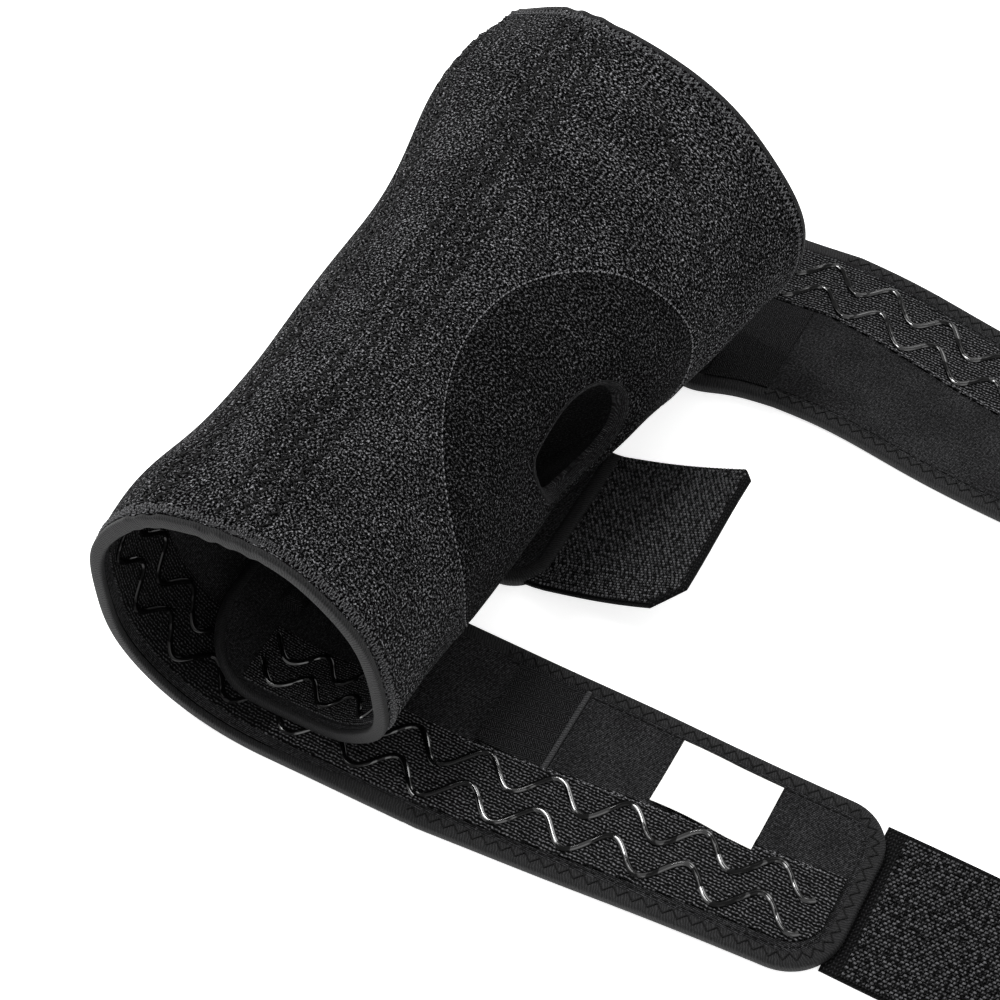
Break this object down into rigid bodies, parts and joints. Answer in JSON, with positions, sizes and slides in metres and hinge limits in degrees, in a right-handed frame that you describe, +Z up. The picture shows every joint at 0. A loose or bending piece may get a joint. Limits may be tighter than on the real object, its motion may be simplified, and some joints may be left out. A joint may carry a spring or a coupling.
{
  "type": "open-patella knee brace",
  "caption": "Black wrap-around knee brace with an open kneecap hole, long hook straps at calf and thigh and a centre tab, rolled into its sleeve shape and lying on its back.",
  "frame": {"origin": "on the floor under the middle of the sleeve, at the centre of the rest face", "axes": "+X across the leg towards the wings and straps, +Y along the leg towards the thigh end, +Z up off the floor"},
  "size_m": [0.3824, 0.3, 0.1125],
  "materials": {
    "pile_fabric": "napped loop pile, dull",
    "neoprene_foam": "closed-cell foam, matt",
    "insert_fabric": "finer napped loop pile, dull",
    "lining_fabric": "smooth knitted jersey, slight sheen",
    "edge_binding": "folded knitted tape, slight sheen",
    "elastic_band": "ribbed woven elastic",
    "silicone": "clear silicone over black, glossy",
    "woven_tape": "herringbone woven tape",
    "label_cloth": "plain white satin tape, blank",
    "ring_foam": "soft moulded pad, matt",
    "stay_steel": "flat coiled spring wire",
    "hook_tape": "moulded hook field, matt",
    "webbing": "flat woven backing"
  },
  "bodies": {
    "back_panel": {"back_pile": "pile_fabric", "back_foam": "neoprene_foam", "back_lining": "lining_fabric", "back_binding_calf": "edge_binding", "back_binding_thigh": "edge_binding", "notch_binding": "edge_binding", "back_grip_calf": "elastic_band", "back_grip_thigh": "elastic_band", "back_beads": "silicone", "thigh_cross_tape": "woven_tape"},
    "front_panel": {"front_pile": "pile_fabric", "front_foam": "neoprene_foam", "front_lining": "lining_fabric", "front_binding_calf": "edge_binding", "front_binding_thigh": "edge_binding", "lap_binding": "edge_binding", "patella_insert": "insert_fabric", "insert_lining": "lining_fabric", "patella_ring": "ring_foam", "hole_edging": "edge_binding", "stay_1": "stay_steel", "stay_2": "stay_steel", "stay_3": "stay_steel", "stay_4": "stay_steel", "stay_pockets": "lining_fabric", "front_grip_calf": "elastic_band", "front_grip_thigh": "elastic_band", "front_beads": "silicone"},
    "calf_wing": {"calf_wing_pile": "pile_fabric", "calf_wing_foam": "neoprene_foam", "calf_wing_lining": "lining_fabric", "calf_wing_binding": "edge_binding", "calf_grip_band": "elastic_band", "calf_beads": "silicone", "calf_cross_tape": "woven_tape", "care_label": "label_cloth", "calf_strap_root": "webbing"},
    "calf_strap_end": {"calf_strap": "webbing", "calf_hook": "hook_tape"},
    "thigh_wing": {"thigh_wing_pile": "pile_fabric", "thigh_wing_foam": "neoprene_foam", "thigh_wing_lining": "lining_fabric", "thigh_wing_binding": "edge_binding", "thigh_grip_band": "elastic_band", "thigh_beads": "silicone", "thigh_strap_root": "webbing"},
    "thigh_strap_end": {"thigh_strap": "webbing", "thigh_hook": "hook_tape"},
    "centre_tab": {"tab_webbing": "webbing", "tab_hook": "hook_tape"}
  },
  "joints": [
    {"name": "panel_open", "type": "hinge", "parent": "back_panel", "child": "front_panel", "pos_m": [-0.07, 0, 0.05425], "axis": [0, 1, 0], "range_deg": [-95, 0]},
    {"name": "calf_wing_fold", "type": "hinge", "parent": "back_panel", "child": "calf_wing", "pos_m": [0.0562, -0.11, 0.0051], "axis": [0, -1, 0], "range_deg": [0, 90]},
    {"name": "calf_strap_fold", "type": "hinge", "parent": "calf_wing", "child": "calf_strap_end", "pos_m": [0.1932, -0.101, 0.0025], "axis": [0, -1, 0], "range_deg": [0, 90]},
    {"name": "thigh_wing_fold", "type": "hinge", "parent": "back_panel", "child": "thigh_wing", "pos_m": [0.0842, 0.11, 0.0051], "axis": [0, -1, 0], "range_deg": [0, 90]},
    {"name": "thigh_strap_fold", "type": "hinge", "parent": "thigh_wing", "child": "thigh_strap_end", "pos_m": [0.2162, 0.095, 0.0025], "axis": [0, -1, 0], "range_deg": [0, 90]},
    {"name": "tab_lift", "type": "hinge", "parent": "back_panel", "child": "centre_tab", "pos_m": [0.0464, -0.015, 0.0049], "axis": [0, -1, 0], "range_deg": [-20, 40]}
  ]
}
